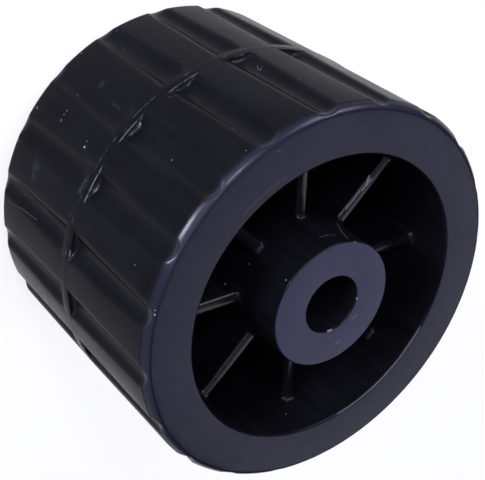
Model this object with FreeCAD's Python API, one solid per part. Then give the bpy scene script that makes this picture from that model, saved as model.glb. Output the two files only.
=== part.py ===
# Double side roller for a boat trailer: one plastic moulding with a fluted tread, spokes and a bored hub.
# Frame: millimetres, +Z along the bore, origin at the middle of the hub's lower end face, on which it stands,
# with +X along a spoke.

import FreeCAD, Part
import math
import os

# Tread
TREAD_DIAMETER = 115.0      # over the middle ring, the widest place
TREAD_WIDTH = 86.0          # between the rim's two end faces
MID_RING_WIDTH = 4.3        # plain ring between the two fluted bands
TREAD_DRAFT = 0.85          # degrees that each band narrows towards its end
CORNER_RADIUS = 1.8         # rounding of the rim's outer corner
CORNER_STEPS = 3            # straight steps that make that rounding
END_FACE_DIAMETER = 110.3   # outer diameter of the flat end face, inside that corner

# Flutes, which run lengthwise along both bands
FLUTE_COUNT = 20
FLUTE_DEPTH = 1.95          # below the lands, beside the middle ring
FLUTE_END_DEPTH = 1.3       # below the lands, at the rim's corner
FLUTE_FLOOR_RADIUS = 5.0    # hollow floor
FLUTE_EDGE_RADIUS = 3.2     # round edge between floor and land
FLUTE_SHIFT = 0.25          # in flute pitches, from +X to the middle of the first flute

# Recess in each end, with the hub inside it
RECESS_DIAMETER = 85.8
HUB_DIAMETER = 38.2
HUB_STAND = 1.8             # how far the hub stands out of the rim's end face
BORE_DIAMETER = 17.0        # runs on a 16 mm spindle
BORE_CHAMFER = 0.4
EDGE_CHAMFER = 0.5          # recess's mouth and the hub's end
WEB_THICKNESS = 4.0         # plate at mid width that closes both recesses

# Spokes, which run from the hub to the rim through the web
SPOKE_COUNT = 8
SPOKE_DEPTH = 13.8          # from the rim's end face down to a spoke's edge
SPOKE_WIDTH = 4.0           # across a spoke at that edge
SPOKE_DRAFT = 0.8           # degrees that each side of a spoke leans out towards the web
SPOKE_EDGE_RADIUS = 1.7     # rounding of a spoke's edge

ORIGIN = FreeCAD.Vector(0, 0, 0)
UP = FreeCAD.Vector(0, 0, 1)

tread_radius = TREAD_DIAMETER / 2
recess_radius = RECESS_DIAMETER / 2
hub_radius = HUB_DIAMETER / 2
bore_radius = BORE_DIAMETER / 2
end_face_radius = END_FACE_DIAMETER / 2
half_tread = TREAD_WIDTH / 2
half_ring = MID_RING_WIDTH / 2
half_hub = half_tread + HUB_STAND


def widening(length, draft):
    """How far a drafted wall leans over a length."""
    return length * math.tan(math.radians(draft))


def polar(radius, angle, height):
    """Point at a radius, an angle in radians and a height."""
    return FreeCAD.Vector(radius * math.cos(angle), radius * math.sin(angle), height)


def arc(start, middle, end):
    return Part.Arc(start, middle, end).toShape()


def stepped_outline(corners):
    """Closed outline through square corners, each given as (point, reach, steps).

    A corner is cut back by its reach along both sides, with a quarter round made of that many straight steps.
    """
    points = []
    for index, (point, reach, steps) in enumerate(corners):
        back = (corners[index - 1][0] - point).normalize() * reach
        ahead = (corners[(index + 1) % len(corners)][0] - point).normalize() * reach
        for step in range(steps + 1):
            turn = math.radians(90) * step / max(steps, 1)
            points.append(point + back * (1 - math.sin(turn)) + ahead * (1 - math.cos(turn)))
    return Part.makePolygon(points + points[:1])


def band_outline(land_radius, depth, height):
    """Closed outline of a fluted band: each flute is a round edge, a hollow floor and a round edge, then a land."""
    floor_centre = land_radius - depth + FLUTE_FLOOR_RADIUS
    edge_centre = land_radius - FLUTE_EDGE_RADIUS
    reach = FLUTE_FLOOR_RADIUS + FLUTE_EDGE_RADIUS
    half_flute = math.acos((edge_centre ** 2 + floor_centre ** 2 - reach ** 2) / (2 * edge_centre * floor_centre))
    pitch = 2 * math.pi / FLUTE_COUNT
    edges = []
    for index in range(FLUTE_COUNT):
        middle = (index + FLUTE_SHIFT) * pitch
        hollow = polar(floor_centre, middle, height)
        floor_ends, edge_tops = [], []
        for angle in (middle - half_flute, middle + half_flute):
            centre = polar(edge_centre, angle, height)
            inward = (hollow - centre).normalize()
            outward = polar(1, angle, 0)
            floor_ends.append(centre + inward * FLUTE_EDGE_RADIUS)
            edge_tops.append(centre + (inward + outward).normalize() * FLUTE_EDGE_RADIUS)
        land_end = polar(land_radius, middle - half_flute, height)
        land_start = polar(land_radius, middle + half_flute, height)
        land_middle = polar(land_radius, middle + pitch / 2, height)
        next_land_end = polar(land_radius, middle + pitch - half_flute, height)
        edges += [
            arc(land_end, edge_tops[0], floor_ends[0]),
            arc(floor_ends[0], polar(land_radius - depth, middle, height), floor_ends[1]),
            arc(floor_ends[1], edge_tops[1], land_start),
            arc(land_start, land_middle, next_land_end),
        ]
    return Part.Wire(edges)


def fluted_band(side):
    """Band of the tread on one side of the middle ring, 1 above it and -1 below, straight where the corner is."""
    corner_height = half_tread - CORNER_RADIUS
    corner_land = tread_radius - widening(corner_height - half_ring, TREAD_DRAFT)
    beside_ring = band_outline(tread_radius, FLUTE_DEPTH, side * half_ring)
    at_corner = band_outline(corner_land, FLUTE_END_DEPTH, side * corner_height)
    corner_block = Part.Face(at_corner).extrude(UP * side * CORNER_RADIUS)
    return Part.makeLoft([beside_ring, at_corner], True, True).fuse(corner_block)


def turned_section():
    """Bore, hub, web and rim as one solid of revolution, wider than the tread between the rim's round corners."""
    half_web = WEB_THICKNESS / 2
    corner_radius = end_face_radius + CORNER_RADIUS
    below_corner = half_tread - 2 * CORNER_RADIUS
    upper = [
        (bore_radius, half_hub, BORE_CHAMFER, 1),
        (hub_radius, half_hub, EDGE_CHAMFER, 1),
        (hub_radius, half_web, 0, 0),
        (recess_radius, half_web, 0, 0),
        (recess_radius, half_tread, EDGE_CHAMFER, 1),
        (corner_radius, half_tread, CORNER_RADIUS, CORNER_STEPS),
        (corner_radius, below_corner, 0, 0),
        (tread_radius + CORNER_RADIUS, below_corner, 0, 0),
    ]
    lower = [(radius, -height, reach, steps) for radius, height, reach, steps in reversed(upper)]
    corners = [(FreeCAD.Vector(radius, 0, height), reach, steps) for radius, height, reach, steps in upper + lower]
    return Part.Face(stepped_outline(corners)).revolve(ORIGIN, UP, 360)


def spoke(index):
    """Plate from inside the hub's wall to inside the rim's, thickest at the web, with rounded edges."""
    start = (bore_radius + hub_radius) / 2
    end = (recess_radius + end_face_radius) / 2
    reach = half_tread - SPOKE_DEPTH
    narrow = SPOKE_WIDTH / 2
    wide = narrow + widening(reach, SPOKE_DRAFT)
    profile = [(narrow, reach), (wide, 0), (narrow, -reach), (-narrow, -reach), (-wide, 0), (-narrow, reach)]
    outline = Part.makePolygon([FreeCAD.Vector(start, y, z) for y, z in profile + profile[:1]])
    plate = Part.Face(outline).extrude(FreeCAD.Vector(end - start, 0, 0))
    long_edges = [edge for edge in plate.Edges
                  if edge.BoundBox.XLength > SPOKE_WIDTH and abs(edge.CenterOfMass.z) > reach / 2]
    return plate.makeFillet(SPOKE_EDGE_RADIUS, long_edges).rotate(ORIGIN, UP, index * 360 / SPOKE_COUNT)


def roller():
    """The whole moulding, standing on its hub."""
    middle_ring = Part.makeCylinder(tread_radius, MID_RING_WIDTH, FreeCAD.Vector(0, 0, -half_ring), UP)
    hub_room = Part.makeCylinder((hub_radius + recess_radius) / 2, 2 * half_hub, FreeCAD.Vector(0, 0, -half_hub), UP)
    blank = middle_ring.multiFuse([fluted_band(1), fluted_band(-1), hub_room])
    body = blank.common(turned_section())
    body = body.multiFuse([spoke(index) for index in range(SPOKE_COUNT)]).removeSplitter()
    body.translate(FreeCAD.Vector(0, 0, half_hub))
    return body


os.makedirs("parts", exist_ok=True)
solid = roller()
solid.exportStep("parts/roller.step")
print("roller: solids %d, faces %d, valid %s" % (len(solid.Solids), len(solid.Faces), solid.isValid()))
print("volume %.1f cm3" % (solid.Volume / 1000))
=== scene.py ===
# Double side roller of black moulded plastic, on a plain white floor. Metres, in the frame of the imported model.
# The moulding's own sizes are in millimetres, measured from its middle. They are the source's sizes, apart from the
# tread's draft, the rim's corner, the flutes' depth at it and the recess's mouth, which follow the photograph.

import math
from cmath import phase, rect

import bmesh
import bpy
from mathutils import Matrix, Vector


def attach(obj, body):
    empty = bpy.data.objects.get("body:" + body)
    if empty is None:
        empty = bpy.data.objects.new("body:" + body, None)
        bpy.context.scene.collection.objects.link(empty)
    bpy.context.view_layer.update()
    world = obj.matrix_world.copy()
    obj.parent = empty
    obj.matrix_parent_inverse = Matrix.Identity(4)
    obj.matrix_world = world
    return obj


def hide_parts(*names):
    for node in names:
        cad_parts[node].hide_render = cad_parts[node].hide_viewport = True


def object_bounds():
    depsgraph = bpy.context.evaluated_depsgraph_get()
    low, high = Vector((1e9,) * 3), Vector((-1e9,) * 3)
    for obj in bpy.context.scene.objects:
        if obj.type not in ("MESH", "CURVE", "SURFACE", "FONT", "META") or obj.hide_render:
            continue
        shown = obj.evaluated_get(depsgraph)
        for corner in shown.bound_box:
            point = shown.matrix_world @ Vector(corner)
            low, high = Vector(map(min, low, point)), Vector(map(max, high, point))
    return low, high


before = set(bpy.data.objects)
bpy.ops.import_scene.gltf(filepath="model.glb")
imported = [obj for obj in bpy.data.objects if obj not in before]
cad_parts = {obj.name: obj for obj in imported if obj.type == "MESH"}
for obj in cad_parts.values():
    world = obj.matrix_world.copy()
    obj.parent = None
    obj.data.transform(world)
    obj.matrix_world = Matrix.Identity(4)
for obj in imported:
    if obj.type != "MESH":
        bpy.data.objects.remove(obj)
cad_low, cad_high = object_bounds()

MM = 0.001

# Camera, solved from the photograph: places in it are pixels of its 485 x 480 frame
FRAME_WIDTH, FRAME_HEIGHT = 485, 480
FOCAL_PIXELS = 1098.65
SENSOR_WIDTH = 36.0
FACE_CENTRE_PIXEL = (327.909, 301.555)   # middle of the visible rim face
FACE_CENTRE_DEPTH = 297.54 * MM          # its distance along the line of sight
AXIS_TILT, AXIS_TURN = 0.7905, 0.6629    # radians: the bore's axis away from the line of sight, and round it
SPOKE_TURN = math.radians(16.5)          # from the face's level line to the spoke along +X
CLIP_NEAR, CLIP_FAR = 0.01, 10

# Tread
TREAD_RADIUS = 57.5
HALF_RING = 2.15
TREAD_DRAFT = math.radians(0.35)
CORNER_RADIUS = 1.6
FLAT_START, FLAT_END = math.radians(20), math.radians(44)    # slopes between which the rim's corner is flatter
FLAT_RADIUS = 3.4           # added to its radius there
HALF_TREAD = 43.0
RING_EDGE = 0.25            # rounding of the middle ring's edge
RING_FOOT = 1.5             # hollow rounding where a flute's floor meets the ring
WALLS_PER_EDGE = 5          # the ring's wall is at least this many times the rounding of its edge
FOOT_SHARE = 0.75           # most of the ring's wall that its hollow foot takes
LEAST_WALL = 0.02           # a ring wall lower than this is left out
SEAM_HALF_WIDTH, SEAM_RISE = 0.14, 0.015  # fine mould seam round the middle of the ring
CORNER_EDGE = 0.6           # rounding where a flute breaks the rim's corner

# Flutes
FLUTE_COUNT = 20
FLUTE_DEPTH, FLUTE_END_DEPTH = 1.95, 1.2
FLUTE_FLOOR_RADIUS, FLUTE_EDGE_RADIUS = 5.0, 3.2
FLUTE_SHIFT = 0.25          # in flute pitches, from +X to the middle of the first flute

# Recess, hub and web
RECESS_RADIUS, HUB_RADIUS, BORE_RADIUS = 42.9, 19.1, 8.5
HUB_STAND = 1.8
MOUTH_EDGE, HUB_EDGE, BORE_EDGE = 0.9, 0.5, 0.5
HALF_WEB = 2.0
WEB_FILLET = 2.0

# Spokes
SPOKE_COUNT = 8
SPOKE_HALF_WIDTH = 2.0
SPOKE_REACH = HALF_TREAD - 13.8
SPOKE_DRAFT = math.radians(0.8)
SPOKE_EDGE = 1.7
SPOKE_FILLET = 1.6          # hollow rounding at its ends and its foot
STEEP = 0.1                 # share of that fillet next to the other surface, where it runs straight
SPOKE_ROOT = 1.5            # length inside the hub's wall and the rim's

# Steps of the mesh
EDGE_STEPS, FLOOR_STEPS, LAND_STEPS = 8, 14, 6
BAND_STEPS, CORNER_STEPS, BEND_STEPS, ROUND_STEPS = 6, 10, 3, 5
SIDE_STEPS, SPAN_STEPS = 3, 4             # up a spoke's side and along its length, between its fillets
COARSENING = 3              # lines of the tread for each line of the recess
COARSE_START = 1.0          # how far inside the rim's corner those coarser lines start
HALVINGS = 30               # of the search for the angle at which a flute breaks the rim's corner
SMOOTH_ANGLE = math.radians(35)
SAME_PLACE = 0.001          # vertices closer than this are one
SHORTEST_EDGE = 0.002       # a shorter edge, or a face thinner than this, is closed up

HALF_HUB = HALF_TREAD + HUB_STAND
RIM_HEIGHT = HALF_HUB + HALF_TREAD


def new_object(name, data):
    piece = bpy.data.objects.new(name, data)
    bpy.context.scene.collection.objects.link(piece)
    return piece


def sight(pixel):
    """Where the camera sees a pixel at a depth of 1, with x to the right, y down and z away from it."""
    return Vector(((pixel[0] - FRAME_WIDTH / 2) / FOCAL_PIXELS, (pixel[1] - FRAME_HEIGHT / 2) / FOCAL_PIXELS, 1))


def seen_at(pixel):
    """Point of the moulding that the camera sees at a pixel of the photograph."""
    across, down, away = sight(pixel)
    toward = camera.matrix_world.to_3x3() @ Vector((across, -down, -away))
    return moulding.ray_cast(camera.matrix_world.translation, toward)[1]


def camera_axes():
    """The part's axes as the camera sees them, with x to the right, y down and z away from it."""
    up = Vector((math.sin(AXIS_TILT) * math.cos(AXIS_TURN), math.sin(AXIS_TILT) * math.sin(AXIS_TURN),
                 -math.cos(AXIS_TILT)))
    level = Vector((up.z, 0, -up.x)).normalized()
    along = level * math.cos(SPOKE_TURN) + up.cross(level) * math.sin(SPOKE_TURN)
    return along, up.cross(along), up


def make_camera():
    data = bpy.data.cameras.new("camera")
    data.sensor_width = SENSOR_WIDTH
    data.lens = FOCAL_PIXELS / FRAME_WIDTH * SENSOR_WIDTH
    data.clip_start, data.clip_end = CLIP_NEAR, CLIP_FAR
    made = new_object("camera", data)
    axes = camera_axes()
    origin = sight(FACE_CENTRE_PIXEL) * FACE_CENTRE_DEPTH - axes[2] * (RIM_HEIGHT * MM)
    rows = [[axis.x, -axis.y, -axis.z, -origin.dot(axis)] for axis in axes]
    made.matrix_world = Matrix(rows + [[0, 0, 0, 1]])
    bpy.context.scene.camera = made
    return made


# Tread: places across the axis are complex numbers

def lifted(flat, height):
    return Vector((flat.real, flat.imag, height))


def one_flute(land_radius, depth):
    """Round edge, hollow floor, round edge and land, as complex numbers about the axis with the flute along 0."""
    floor_centre = land_radius - depth + FLUTE_FLOOR_RADIUS
    edge_centre = land_radius - FLUTE_EDGE_RADIUS
    reach = FLUTE_FLOOR_RADIUS + FLUTE_EDGE_RADIUS
    half = math.acos((edge_centre ** 2 + floor_centre ** 2 - reach ** 2) / (2 * edge_centre * floor_centre))
    slope = phase(floor_centre - rect(edge_centre, -half))
    land = 2 * math.pi / FLUTE_COUNT - 2 * half
    edge, floor = (slope + half) / EDGE_STEPS, 2 * slope / FLOOR_STEPS
    return ([rect(edge_centre, -half) + rect(FLUTE_EDGE_RADIUS, k * edge - half) for k in range(EDGE_STEPS)]
            + [floor_centre - rect(FLUTE_FLOOR_RADIUS, slope - k * floor) for k in range(FLOOR_STEPS)]
            + [rect(edge_centre, half) + rect(FLUTE_EDGE_RADIUS, k * edge - slope) for k in range(EDGE_STEPS)]
            + [rect(land_radius, half + k * land / LAND_STEPS) for k in range(LAND_STEPS)])


def all_flutes(land_radius, depth):
    turns = [2 * math.pi * (index + FLUTE_SHIFT) / FLUTE_COUNT for index in range(FLUTE_COUNT)]
    return [point * rect(1, turn) for turn in turns for point in one_flute(land_radius, depth)]


def bend(start, corner, end):
    """Points of a smooth turn from start to end that aims at the corner."""
    turns = [step / BEND_STEPS for step in range(BEND_STEPS + 1)]
    return [start.lerp(corner, turn).lerp(corner.lerp(end, turn), turn) for turn in turns]


def corner_at(angle):
    """How far the rim's corner has come in and up, where its surface slopes by this angle."""
    flat = min(max(angle, FLAT_START), FLAT_END)
    return (CORNER_RADIUS * (1 - math.cos(angle)) + FLAT_RADIUS * (math.cos(FLAT_START) - math.cos(flat)),
            CORNER_RADIUS * math.sin(angle) + FLAT_RADIUS * (math.sin(flat) - math.sin(FLAT_START)))


def corner_angle(inset):
    """Angle at which the rim's corner has come in by this much."""
    low, high = 0, math.pi / 2
    for _ in range(HALVINGS):
        middle = (low + high) / 2
        low, high = (middle, high) if corner_at(middle)[0] < inset else (low, middle)
    return low


CORNER_INSET, CORNER_RISE = corner_at(math.pi / 2)
CORNER_HEIGHT = HALF_TREAD - CORNER_RISE
CORNER_LAND = TREAD_RADIUS - (CORNER_HEIGHT - HALF_RING) * math.tan(TREAD_DRAFT)
END_FACE_RADIUS = CORNER_LAND - CORNER_INSET


def band_line(at_ring, at_corner):
    """Points up one line of the tread, from mid width over the ring's edge and along the band to the rim's corner."""
    floor = abs(at_ring)
    wall = TREAD_RADIUS - floor
    ring, soft, hollow = TREAD_RADIUS, min(RING_EDGE, wall / WALLS_PER_EDGE), min(RING_FOOT, FOOT_SHARE * wall)
    if wall < LEAST_WALL:
        ring, soft, hollow = floor, 0, 0
    outward = at_ring / floor
    foot, top = lifted(at_ring, HALF_RING), lifted(at_corner, CORNER_HEIGHT)
    points = [lifted(outward * ring, 0), lifted(outward * (ring - SEAM_RISE), SEAM_HALF_WIDTH)]
    points += bend(lifted(outward * ring, HALF_RING - soft), lifted(outward * ring, HALF_RING),
                   lifted(outward * (ring - soft), HALF_RING))
    points += bend(lifted(outward * (floor + hollow), HALF_RING), foot,
                   foot.lerp(top, hollow / (CORNER_HEIGHT - HALF_RING)))
    return points + [foot.lerp(top, step / BAND_STEPS) for step in range(1, BAND_STEPS + 1)]


def corner_line(at_corner):
    """Points up the same line over the rim's corner, with a soft edge where a flute breaks it."""
    outward = at_corner / abs(at_corner)
    start = corner_angle(CORNER_LAND - abs(at_corner))
    soft = min(CORNER_EDGE, (math.pi / 2 - start) * CORNER_RADIUS / 2, math.sin(start) * CORNER_RADIUS / 2)
    first = start + soft / CORNER_RADIUS

    def on_corner(angle):
        inset, rise = corner_at(angle)
        return lifted(outward * (CORNER_LAND - inset), CORNER_HEIGHT + rise)

    lip = on_corner(start)
    points = bend(lip - Vector((0, 0, soft)), lip, on_corner(first))
    return points + [on_corner(first + (math.pi / 2 - first) * step / CORNER_STEPS)
                     for step in range(1, CORNER_STEPS + 1)]


# Body: the tread with the recesses, the web, the hub and the bore

def between_rings(base, rings, count):
    """Faces between closed rings of this many vertices, which follow one another from the vertex base on."""
    return [(base + i * count + j, base + i * count + (j + 1) % count,
             base + (i + 1) * count + (j + 1) % count, base + (i + 1) * count + j)
            for i in range(rings - 1) for j in range(count)]


def rounded(corners):
    """Points along a line of square corners, each (radius, height, reach of its quarter round)."""
    points = []
    for index, (radius, height, reach) in enumerate(corners):
        point = Vector((radius, height))
        if not reach:
            points.append(point)
            continue
        back = (Vector(corners[index - 1][:2]) - point).normalized() * reach
        ahead = (Vector(corners[index + 1][:2]) - point).normalized() * reach
        for step in range(ROUND_STEPS + 1):
            turn = math.pi / 2 * step / ROUND_STEPS
            points.append(point + back * (1 - math.sin(turn)) + ahead * (1 - math.cos(turn)))
    return points


def inner_line():
    """Points from the upper rim face through recess, hub and bore to the lower rim face, as (radius, height)."""
    upper = rounded([(END_FACE_RADIUS - COARSE_START, HALF_TREAD, 0), (RECESS_RADIUS, HALF_TREAD, MOUTH_EDGE),
                     (RECESS_RADIUS, HALF_WEB, WEB_FILLET), (HUB_RADIUS, HALF_WEB, WEB_FILLET),
                     (HUB_RADIUS, HALF_HUB, HUB_EDGE), (BORE_RADIUS, HALF_HUB, BORE_EDGE), (BORE_RADIUS, 0, 0)])
    return upper + [Vector((p.x, -p.y)) for p in reversed(upper[:-1])]


def body_mesh():
    """Closed mesh of everything but the spokes: fine lines on the tread, fewer in the recess."""
    at_corner = all_flutes(CORNER_LAND, FLUTE_END_DEPTH)
    lines = []
    for ring_place, corner_place in zip(all_flutes(TREAD_RADIUS, FLUTE_DEPTH), at_corner):
        upper = band_line(ring_place, corner_place) + corner_line(corner_place)
        lines.append([Vector((p.x, p.y, -p.z)) for p in reversed(upper[1:])] + upper)
    fine, rows = len(lines), len(lines[0])
    vertices = [line[row] for row in range(rows) for line in lines]
    faces = between_rings(0, rows, fine)

    inner = inner_line()
    turns = [phase(at_corner[j]) for j in range(0, fine, COARSENING)]
    coarse, base = len(turns), len(vertices)
    vertices += [lifted(rect(p.x, turn), p.y) for p in inner for turn in turns]
    faces += between_rings(base, len(inner), coarse)
    top, bottom = (rows - 1) * fine, base + (len(inner) - 1) * coarse
    for j in range(coarse):
        group = [(j * COARSENING + k) % fine for k in range(COARSENING + 1)]
        faces.append([top + k for k in group] + [base + (j + 1) % coarse, base + j])
        faces.append([bottom + j, bottom + (j + 1) % coarse] + list(reversed(group)))
    return finished_mesh("body", vertices, faces)


def finished_mesh(name, vertices, faces):
    """Mesh in the part's frame and in metres, with places that coincide joined."""
    mesh = bpy.data.meshes.new(name)
    mesh.from_pydata([(v.x * MM, v.y * MM, (v.z + HALF_HUB) * MM) for v in vertices], [], faces)
    work = bmesh.new()
    work.from_mesh(mesh)
    bmesh.ops.remove_doubles(work, verts=work.verts, dist=SAME_PLACE * MM)
    bmesh.ops.recalc_face_normals(work, faces=work.faces)
    work.to_mesh(mesh)
    work.free()
    return mesh


# Spokes

def fillet(gap):
    """How far a spoke's fillet stands off it, at this distance from the surface that it meets."""
    gap = max(gap, 0) / SPOKE_FILLET
    if gap >= 1:
        return 0
    near = max(gap, STEEP)
    root = math.sqrt(1 - (1 - near) ** 2)
    return SPOKE_FILLET * (1 - root + (near - gap) * (1 - near) / root)


def fillet_gaps():
    return [SPOKE_FILLET * (1 - math.cos(math.pi / 2 * step / ROUND_STEPS)) for step in range(1, ROUND_STEPS + 1)]


def spoke_outline(grow):
    """Closed outline across a spoke as (across, height), enlarged by grow."""
    narrow, top = SPOKE_HALF_WIDTH + grow, SPOKE_REACH + grow
    shoulder = top - SPOKE_EDGE
    side = shoulder - HALF_WEB - SPOKE_FILLET
    heights = [0, HALF_WEB] + [HALF_WEB + gap for gap in fillet_gaps()]
    heights += [HALF_WEB + SPOKE_FILLET + side * (step / SIDE_STEPS) for step in range(1, SIDE_STEPS)]
    quarter = [(narrow + (shoulder - z) * math.tan(SPOKE_DRAFT) + fillet(z - HALF_WEB), z) for z in heights]
    turns = [math.pi / 2 * step / ROUND_STEPS for step in range(ROUND_STEPS + 1)]
    quarter += [(narrow - SPOKE_EDGE * (1 - math.cos(t)), shoulder + SPOKE_EDGE * math.sin(t)) for t in turns]
    upper = quarter + [(-y, z) for y, z in reversed(quarter)]
    return upper + [(-y, -z) for y, z in upper[1:-1]]


def spokes_mesh():
    """All the spokes, each a closed loft of outlines at growing distances from the axis."""
    gaps = fillet_gaps()
    span = RECESS_RADIUS - HUB_RADIUS
    reaches = [-SPOKE_ROOT, 0] + gaps + [span * (step / SPAN_STEPS) for step in range(1, SPAN_STEPS)]
    reaches += [span - gap for gap in reversed(gaps)] + [span, span + SPOKE_ROOT]
    outlines = [(HUB_RADIUS + reach, spoke_outline(fillet(min(reach, span - reach)))) for reach in reaches]
    count = len(outlines[0][1])
    vertices, faces = [], []
    for index in range(SPOKE_COUNT):
        turn = rect(1, 2 * math.pi * index / SPOKE_COUNT)
        base = len(vertices)
        vertices += [lifted(complex(math.sqrt(radius ** 2 - y ** 2), y) * turn, z)
                     for radius, outline in outlines for y, z in outline]
        faces += between_rings(base, len(outlines), count)
        faces += [[base + j for j in reversed(range(count))],
                  [base + (len(outlines) - 1) * count + j for j in range(count)]]
    return finished_mesh("spokes", vertices, faces)


def joined(body, addition):
    """Body with the addition made one with it."""
    union = body.modifiers.new("union", "BOOLEAN")
    union.operation, union.solver, union.object = "UNION", "MANIFOLD", addition
    shapes = bpy.context.evaluated_depsgraph_get()
    body.data = bpy.data.meshes.new_from_object(body.evaluated_get(shapes))
    body.modifiers.clear()
    bpy.data.objects.remove(addition)
    work = bmesh.new()
    work.from_mesh(body.data)
    bmesh.ops.dissolve_degenerate(work, dist=SHORTEST_EDGE * MM, edges=work.edges)
    work.to_mesh(body.data)
    work.free()
    body.data.shade_smooth()
    body.data.set_sharp_from_angle(angle=SMOOTH_ANGLE)
    return body


class Nodes:
    """Short calls that add nodes to a material and return their outputs. Lengths and sizes are in mm."""

    def __init__(self, tree):
        self.tree = tree

    def feed(self, sockets, values):
        """Link or set each socket, and leave those with None as they are."""
        for socket, value in zip(sockets, values):
            if isinstance(value, bpy.types.NodeSocket):
                self.tree.links.new(value, socket)
            elif value is not None:
                socket.default_value = value

    def add(self, kind, *values, **settings):
        node = self.tree.nodes.new("ShaderNode" + kind)
        for name, value in settings.items():
            setattr(node, name, value)
        self.feed(node.inputs, values)
        return node

    def link(self, value, node, *names):
        """Lead an output to the inputs of a node that have these names."""
        for name in names:
            self.tree.links.new(value, node.inputs[name])

    def math(self, operation, *values):
        return self.add("Math", *values, operation=operation).outputs[0]

    def product(self, value, *others):
        for other in others:
            value = self.math("MULTIPLY", value, other)
        return value

    def largest(self, values):
        value = values[0]
        for other in values[1:]:
            value = self.math("MAXIMUM", value, other)
        return value

    def vector(self, operation, *values):
        node = self.add("VectorMath", *values, operation=operation)
        return node.outputs["Value" if operation in ("LENGTH", "DISTANCE", "DOT_PRODUCT") else "Vector"]

    def from_axis(self, place):
        return self.vector("LENGTH", self.vector("MULTIPLY", place, (1, 1, 0)))

    def off(self, value, level):
        """How far a value lies from a level, above it or below."""
        return self.math("ABSOLUTE", self.math("SUBTRACT", value, level * MM))

    def to_run(self, place, start, end):
        """Distance from a straight run."""
        run = end - start
        offset = self.vector("SUBTRACT", place, start)
        along = self.math("MAXIMUM", self.vector("DOT_PRODUCT", offset, run.normalized()), 0)
        along = self.math("MINIMUM", along, run.length)
        nearest = self.add("VectorMath", run.normalized(), None, None, along, operation="SCALE").outputs["Vector"]
        return self.vector("DISTANCE", offset, nearest)

    def ramp(self, value, low, high, to_low=0.0, to_high=1.0):
        """Smooth change from to_low where the value is low to to_high where it is high."""
        return self.add("MapRange", value, low, high, to_low, to_high, interpolation_type="SMOOTHSTEP").outputs[0]

    def span(self, value, lengths):
        """Smooth change from 0 to 1 between two lengths."""
        return self.ramp(value, lengths[0] * MM, lengths[1] * MM)

    def spot(self, away, size, fade, strength=1.0):
        """Mark that is gone where away is fade[0] times its size, and full where it is fade[1] times it."""
        return self.ramp(away, fade[0] * size * MM, fade[1] * size * MM, 0, strength)

    def noise(self, place, size, detail=2.0):
        """Noise of about 0.5 with features of this size."""
        return self.add("TexNoise", place, None, 1 / (size * MM), detail).outputs[0]

    def patches(self, place, size, detail, *ends):
        """Patches of about this size: noise as a ramp between two of its values."""
        return self.ramp(self.noise(place, size, detail), *ends)

    def blend(self, share, first, second):
        """Mix of two colours."""
        node = self.add("Mix", data_type="RGBA")
        self.feed([socket for socket in node.inputs if socket.enabled], (share, first, second))
        return [socket for socket in node.outputs if socket.enabled][0]


# Marks of use, each at a pixel, with its radius in mm and its strength; the speck at (286, 280) is a painted highlight
# on the hub's edge
SPECKS_AND_HUB_HIGHLIGHT = [
    ((84.5, 147), 0.3, 0.9), ((86.8, 141.3), 0.2, 0.4), ((81.6, 53.3), 0.22, 0.4), ((117.2, 30.6), 0.25, 0.3),
    ((37, 107.6), 0.4, 0.3), ((18.9, 140.7), 0.25, 0.4), ((171.6, 160.2), 0.22, 0.5), ((67, 110.4), 0.3, 0.22),
    ((64.2, 114.4), 0.25, 0.3), ((61, 120.5), 0.5, 0.14), ((77.6, 95), 0.25, 0.16), ((123.4, 48.6), 0.3, 0.12),
    ((135, 264.6), 0.2, 0.4), ((155, 310.5), 0.16, 0.6), ((154.6, 315), 0.22, 0.9), ((233, 129), 0.18, 0.35),
    ((225, 284), 0.28, 0.5), ((355, 242), 0.22, 0.35), ((286, 280), 0.3, 0.3), ((203, 391.5), 0.22, 0.9),
    ((286, 414), 0.25, 0.5), ((140.5, 124), 0.4, 0.25), ((357, 298.5), 0.35, 0.45), ((249, 264), 0.3, 0.35),
]
# Scratches and painted highlights, each between two pixels, with its half width in mm and its strength: the two lines
# on the hub's barrel from (336, 222) are a painted highlight, and the short line at (328, 331) a painted highlight on
# the bore's edge
SCRATCHES_AND_HIGHLIGHTS = [
    ((8, 201), (22, 209), 0.16, 0.07), ((22, 209), (37, 220), 0.16, 0.09),
    ((257.5, 65.5), (257.8, 69), 0.14, 0.14), ((257.8, 69), (260.6, 69.8), 0.14, 0.16),
    ((260.6, 69.8), (262.3, 66.5), 0.14, 0.12), ((112.5, 103), (121, 110), 0.25, 0.03),
    ((320, 237), (328, 235), 0.2, 0.08), ((331, 235), (335, 234.5), 0.2, 0.06),
    ((352, 319), (357, 314.5), 0.22, 0.14), ((328, 331), (331, 330), 0.3, 0.4),
    ((337, 343), (339.5, 341), 0.25, 0.14), ((366.5, 185), (369, 176), 0.3, 0.6),
    ((362, 190), (371, 179), 0.35, 0.4), ((346, 209), (360, 191), 0.3, 0.25),
    ((336, 222), (341, 231), 0.3, 0.08), ((341, 231), (347.5, 238), 0.3, 0.08),
    ((277.3, 152), (280, 150.2), 0.2, 0.1),
]
# Soft pale patches, each at a pixel, with its radius in mm and its strength
SMUDGES = [
    ((101.7, 84.2), 1.2, 0.06), ((36, 166), 2.2, 0.05), ((34, 176), 1.6, 0.04), ((84, 182), 1.6, 0.10),
    ((80, 190), 1.2, 0.10), ((94, 189), 0.8, 0.12), ((139, 126), 0.9, 0.08), ((128, 128), 1.4, 0.07),
    ((315, 340), 0.8, 0.05), ((368, 182), 1.2, 0.10),
]
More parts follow.
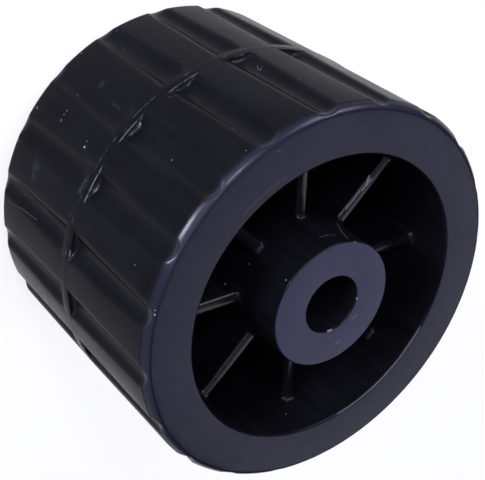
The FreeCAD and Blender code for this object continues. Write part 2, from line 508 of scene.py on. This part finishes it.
# Pale lines along the middle ring, each along a height from mid width in mm and between two pixels, with its strength:
# those along the ring's edge are painted highlights where the edge catches the light, with some wear, and those along
# its middle are wear
WORN_AND_HIGHLIGHT_LINES = [
    (HALF_RING, (199.6, 72), (166, 94), 0.18), (HALF_RING, (144, 112), (117, 143.6), 0.22),
    (HALF_RING, (103.4, 165), (84, 203), 0.32), (0, (158, 94), (132, 120), 0.12), (0, (109, 147), (95, 172), 0.1),
]
# Arcs on the rim's face, each between two pixels, with its radius and half width in mm and its strength: the first is a
# scratch, the second a painted highlight along the recess's rounded mouth
FACE_ARCS_AND_MOUTH_HIGHLIGHT = [((240, 217), (290, 173), 45.65, 0.15, 0.06), ((336, 414.6), (421, 326), 43.2, 0.16, 0.2)]

# Shares of a mark's size at which it is gone and at which it is full
SPECK_FADE, SCRATCH_FADE, SMUDGE_FADE, WORN_AND_HIGHLIGHT_FADE = (1.3, 0.5), (1.3, 0.4), (1.5, 0.2), (1.4, 0.5)
LINE_FADE = 0.02            # radians in which a worn line or an arc ends
RAGGED_SIZE, RAGGED_REACH = 0.7, 0.4      # how coarsely and how far the outlines of marks wander
WORN_AND_HIGHLIGHT_WIDTH, RUBBED_WIDTH = 0.13, 0.2      # half widths of the pale lines, worn and painted as highlights, and of the ring's rubbed edges
# Patches: size, detail of the noise, its values at both ends of the ramp, and what these become
SMUDGE_PATCHES = (1.1, 3, 0.35, 0.75)
BREAKS = (1.6, 3, 0.40, 0.52, 0.25)
RUBBED = (7.0, 4, 0.58, 0.70, 0, 0.3)
FLOW_MARKS, FLOW_SQUASH = (3.0, 3, 0.35, 0.7), (1, 1, 0.08)
CLOUDS = (14.0, 4, 0.3, 0.7)
# Dust: size of its cells, where its specks are gone and full in a cell, and which cells have one, how strong
DUST_CELL, DUST_FADE, DUST_CHOICE = 3.4, (0.07, 0.02), (0.86, 0.92, 0, 0.3)

# Spans over which a part of the finish comes in, first in distance from the axis
OFF_RECESS = (RECESS_RADIUS + 2, RECESS_RADIUS + 6)
ON_RIM = (RECESS_RADIUS - 3, RECESS_RADIUS - 1)
OFF_HUB, OFF_RIM = (HUB_RADIUS + 0.1, HUB_RADIUS + 0.8), (RECESS_RADIUS - 0.1, RECESS_RADIUS - 0.8)
OUTERMOST, SUNK = (TREAD_RADIUS - 0.45, TREAD_RADIUS - 0.2), (TREAD_RADIUS - 0.2, TREAD_RADIUS - 0.5)
# then in distance from mid width
ON_TREAD, ON_CORNER = (CORNER_HEIGHT + 0.8, CORNER_HEIGHT - 1), (CORNER_HEIGHT + 0.3, CORNER_HEIGHT + 1.6)
AT_RIM_FACE, AT_HUB_FACE = (HALF_TREAD - 0.2, HALF_TREAD - 0.01), (HALF_HUB - 0.08, HALF_HUB - 0.01)
BESIDE_RING = (HALF_RING + 1.3, HALF_RING + 0.3)
# and in height
UPPER_FACE = (RIM_HEIGHT - 0.6, RIM_HEIGHT - 0.4)

# Colours and finish of the moulding
# The pale colour is that of the marks of use and of the painted highlights among them
BLACK, PALE_MARK_AND_HIGHLIGHT = (0.0024, 0.0023, 0.0034, 1), (0.30, 0.30, 0.37, 1)
MOTTLED = (0.0044, 0.0042, 0.0064, 1)
# Painted sheen: the rim's corner, the rim's face and the hub's face are painted paler and bluer than the black, for the
# lilac light that they reflect
PAINTED_CORNER_SHEEN = (0.0120, 0.0125, 0.0220, 1)
PAINTED_RIM_FACE_SHEEN, PAINTED_HUB_FACE_SHEEN = (0.0052, 0.0056, 0.0125, 1), (0.0155, 0.0164, 0.0340, 1)
TREAD_GLOSS, GLOSS, CORNER_GLOSS, SPOKE_GLOSS = 0.028, 0.110, 0.30, 0.23
END_WALL_GLOSS = 0.30       # added to the tread's on the end walls of the flutes
SHEEN, SHEEN_TINT = 0.019, (0.5, 0.5, 1.0, 1)
SMOOTH, DULL = 0.17, 0.28
TREAD_DULL, MARK_DULL = 0.04, 0.5         # how much duller the tread and the palest mark are
GRAIN, GRAIN_HEIGHT = 0.35, 0.028 * MM
WAVE, WAVE_HEIGHT = 9.0, 0.03 * MM


def placed_marks_and_highlights(nodes, place):
    """Specks, scratches and smudges, among them painted highlights on the hub's edge, the hub's barrel and the bore's
    edge.
    """
    wobble = nodes.add("TexNoise", place, None, 1 / (RAGGED_SIZE * MM), 1.0).outputs["Color"]
    ragged = nodes.vector("MULTIPLY_ADD", wobble, (RAGGED_REACH * MM,) * 3, place)
    ragged = nodes.vector("SUBTRACT", ragged, (RAGGED_REACH / 2 * MM,) * 3)
    patchy = nodes.patches(place, *SMUDGE_PATCHES)
    marks = []
    for pixel, radius, strength in SPECKS_AND_HUB_HIGHLIGHT:
        away = nodes.vector("DISTANCE", ragged, seen_at(pixel))
        marks.append(nodes.spot(away, radius, SPECK_FADE, strength))
    for start, end, width, strength in SCRATCHES_AND_HIGHLIGHTS:
        away = nodes.to_run(ragged, seen_at(start), seen_at(end))
        marks.append(nodes.spot(away, width, SCRATCH_FADE, strength))
    for pixel, radius, strength in SMUDGES:
        away = nodes.vector("DISTANCE", place, seen_at(pixel))
        marks.append(nodes.product(nodes.spot(away, radius, SMUDGE_FADE, strength), patchy))
    return marks


def round_marks_and_highlights(nodes, place):
    """Marks that run round the axis: pale lines along the middle ring, partly wear and partly painted highlight, its
    rubbed edges, and arcs on the rim's face, one of them a painted highlight along the recess's mouth.
    """
    x, y, z = nodes.add("SeparateXYZ", place).outputs
    radius = nodes.from_axis(place)
    turn = nodes.math("ARCTAN2", y, x)
    broken = nodes.patches(place, *BREAKS)
    outermost = nodes.span(radius, OUTERMOST)

    def between(first, last):
        """1 between two pixels as seen from the axis, with soft ends."""
        low, high = sorted(math.atan2(p.y, p.x) for p in (seen_at(first), seen_at(last)))
        return nodes.product(nodes.ramp(turn, low, low + LINE_FADE), nodes.ramp(turn, high, high - LINE_FADE))

    def beside(height, width):
        return nodes.spot(nodes.off(z, HALF_HUB + height), width, WORN_AND_HIGHLIGHT_FADE)

    marks = [nodes.product(beside(height, WORN_AND_HIGHLIGHT_WIDTH), nodes.product(outermost, broken), between(first, last), strength)
             for height, first, last, strength in WORN_AND_HIGHLIGHT_LINES]
    edges = nodes.largest([beside(height, RUBBED_WIDTH) for height in (-HALF_RING, 0, HALF_RING)])
    marks.append(nodes.product(edges, outermost, nodes.product(nodes.patches(place, *RUBBED), broken)))
    on_face = nodes.span(z, UPPER_FACE)
    for first, last, arc_radius, width, strength in FACE_ARCS_AND_MOUTH_HIGHLIGHT:
        arc = nodes.spot(nodes.off(radius, arc_radius), width, SCRATCH_FADE, strength)
        marks.append(nodes.product(arc, on_face, between(first, last)))
    return marks


def dust(nodes, place):
    cells = nodes.add("TexVoronoi", place, None, 1 / (DUST_CELL * MM)).outputs
    chosen = nodes.ramp(nodes.add("SeparateColor", cells["Color"]).outputs[0], *DUST_CHOICE)
    return nodes.product(nodes.ramp(cells["Distance"], *DUST_FADE), chosen)


class Zones:
    """Masks of the moulding's places, each 1 on its place and 0 off it."""

    def __init__(self, nodes, place):
        radius = nodes.from_axis(place)
        height = nodes.off(nodes.add("SeparateXYZ", place).outputs[2], HALF_HUB)
        outside = nodes.span(radius, OFF_RECESS)
        self.tread = nodes.product(outside, nodes.span(height, ON_TREAD))
        self.corner = nodes.product(outside, nodes.span(height, ON_CORNER))
        self.rim_face = nodes.product(nodes.span(radius, ON_RIM), nodes.span(height, AT_RIM_FACE))
        self.hub_face = nodes.span(height, AT_HUB_FACE)
        self.spokes = nodes.product(nodes.span(radius, OFF_HUB), nodes.span(radius, OFF_RIM))
        self.end_walls = nodes.product(nodes.span(radius, SUNK), nodes.span(height, BESIDE_RING), outside)


def colour(nodes, zones, mottle, marks):
    """Black, with painted lilac sheen on the rim's corner and the end faces, and pale on the marks and the painted
    highlights.
    """
    black = nodes.blend(mottle, BLACK, MOTTLED)
    for share, shade in ((zones.corner, PAINTED_CORNER_SHEEN), (zones.rim_face, PAINTED_RIM_FACE_SHEEN), (zones.hub_face, PAINTED_HUB_FACE_SHEEN),
                         (marks, PALE_MARK_AND_HIGHLIGHT)):
        black = nodes.blend(share, black, shade)
    return black


def gloss(nodes, zones):
    """Weight of the coat: least on the tread, most on the rim's corner and the flutes' end walls."""
    polished = nodes.product(zones.corner, nodes.math("SUBTRACT", 1, zones.rim_face))
    weight = GLOSS
    for share, more in ((zones.tread, TREAD_GLOSS - GLOSS), (polished, CORNER_GLOSS - GLOSS),
                        (zones.spokes, SPOKE_GLOSS - GLOSS), (zones.end_walls, END_WALL_GLOSS)):
        weight = nodes.math("MULTIPLY_ADD", share, more, weight)
    return weight


def roughness(nodes, zones, mottle, marks):
    worn = nodes.math("MULTIPLY_ADD", marks, MARK_DULL, nodes.ramp(mottle, 0, 1, SMOOTH, DULL))
    return nodes.math("MULTIPLY_ADD", zones.tread, TREAD_DULL, worn)


def relief(nodes, place):
    """Normal of the surface with its grain and its faint waves, whose heights are in metres."""
    height = nodes.product(nodes.noise(place, WAVE), WAVE_HEIGHT)
    height = nodes.math("MULTIPLY_ADD", nodes.noise(place, GRAIN), GRAIN_HEIGHT, height)
    bump = nodes.add("Bump")
    bump.inputs["Distance"].default_value = 1.0
    nodes.link(height, bump, "Height")
    return bump.outputs["Normal"]


def plastic():
    """Satin black plastic with a fine grain, faint flow marks along the tread, marks of use, painted highlights, and
    painted sheen on the rim's corner and the end faces.
    """
    material = bpy.data.materials.new("black_plastic")
    material.use_nodes = True
    nodes = Nodes(material.node_tree)
    shader = material.node_tree.nodes["Principled BSDF"]
    shader.inputs["Specular IOR Level"].default_value = SHEEN
    shader.inputs["Specular Tint"].default_value = SHEEN_TINT

    place = nodes.add("TexCoord").outputs["Object"]
    marks = nodes.largest(placed_marks_and_highlights(nodes, place) + round_marks_and_highlights(nodes, place) + [dust(nodes, place)])
    flow = nodes.patches(nodes.vector("MULTIPLY", place, FLOW_SQUASH), *FLOW_MARKS)
    mottle = nodes.product(nodes.math("ADD", flow, nodes.patches(place, *CLOUDS)), 0.5)
    zones = Zones(nodes, place)
    nodes.link(colour(nodes, zones, mottle, marks), shader, "Base Color")
    nodes.link(gloss(nodes, zones), shader, "Coat Weight")
    nodes.link(roughness(nodes, zones, mottle, marks), shader, "Roughness", "Coat Roughness")
    nodes.link(relief(nodes, place), shader, "Normal", "Coat Normal")
    return material


# Lamps, floor and world, in metres

LAMP_DISTANCE = 0.6
LAMP_COLOUR = (0.87, 0.87, 1.0)
# Each lamp's azimuth and elevation from the moulding's middle in degrees, its two sides and its watts
LAMPS = {
    "back": (136, 42, (0.38, 0.34), 1.5),
    "top": (136, 84, (0.4, 0.6), 1.1),
    "before": (316, 42, (0.6, 0.5), 2.2),
    "side_low": (45, 22, (0.5, 0.5), 0.4),
    "side_high": (180, 52, (0.5, 0.5), 0.3),
    "front": (294, 40, (0.08, 0.08), 0.9),
    "left": (327, 14, (0.12, 0.15), 3.4),
    "right": (240, 30, (0.30, 0.22), 2.3),
}
FLOOR_REACH = 3.0
FLOOR_COLOUR, FLOOR_DULL = (0.86, 0.86, 0.86, 1), 0.9
WHITE = (1, 1, 1, 1)
BACKGROUND_SHARE = 0.75     # of plain white in the floor as the camera and reflections see it
WORLD_COLOUR, WORLD_STRENGTH = (0.96, 0.96, 1, 1), 0.05


def make_lamp(name, azimuth, elevation, size, watts):
    data = bpy.data.lights.new(name, "AREA")
    data.shape = "RECTANGLE"
    data.size, data.size_y = size
    data.energy = watts
    data.color = LAMP_COLOUR
    lamp = new_object(name, data)
    level, rise = rect(1, math.radians(azimuth)), math.radians(elevation)
    toward = lifted(level * math.cos(rise), math.sin(rise))
    lamp.location = (cad_low + cad_high) / 2 + toward * LAMP_DISTANCE
    lamp.rotation_mode = "QUATERNION"
    lamp.rotation_quaternion = toward.to_track_quat("Z", "Y")


def make_floor():
    mesh = bpy.data.meshes.new("floor")
    mesh.from_pydata([(-FLOOR_REACH, -FLOOR_REACH, 0), (FLOOR_REACH, -FLOOR_REACH, 0), (FLOOR_REACH, FLOOR_REACH, 0),
                      (-FLOOR_REACH, FLOOR_REACH, 0)], [], [(0, 1, 2, 3)])
    floor = new_object("floor", mesh)
    material = bpy.data.materials.new("floor")
    material.use_nodes = True
    nodes = Nodes(material.node_tree)
    shader = material.node_tree.nodes["Principled BSDF"]
    shader.inputs["Base Color"].default_value = FLOOR_COLOUR
    shader.inputs["Roughness"].default_value = FLOOR_DULL
    ray = nodes.add("LightPath").outputs
    seen = nodes.largest([ray["Is Camera Ray"], ray["Is Glossy Ray"], ray["Is Transmission Ray"]])
    white = nodes.add("Emission", WHITE, 1.0).outputs[0]
    mix = nodes.add("MixShader", nodes.product(seen, BACKGROUND_SHARE), shader.outputs[0], white)
    nodes.link(mix.outputs[0], material.node_tree.nodes["Material Output"], "Surface")
    mesh.materials.append(material)


def make_world():
    world = bpy.data.worlds.new("world")
    bpy.context.scene.world = world
    world.use_nodes = True
    background = world.node_tree.nodes["Background"]
    background.inputs["Color"].default_value = WORLD_COLOUR
    background.inputs["Strength"].default_value = WORLD_STRENGTH


camera = make_camera()

moulding = joined(new_object("roller_moulding", body_mesh()), new_object("spokes", spokes_mesh()))
moulding.data.materials.clear()
moulding.data.materials.append(plastic())
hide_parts("roller")
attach(moulding, "root")

for name, settings in LAMPS.items():
    make_lamp(name, *settings)
make_floor()
make_world()
bpy.context.scene.view_settings.view_transform = "Standard"
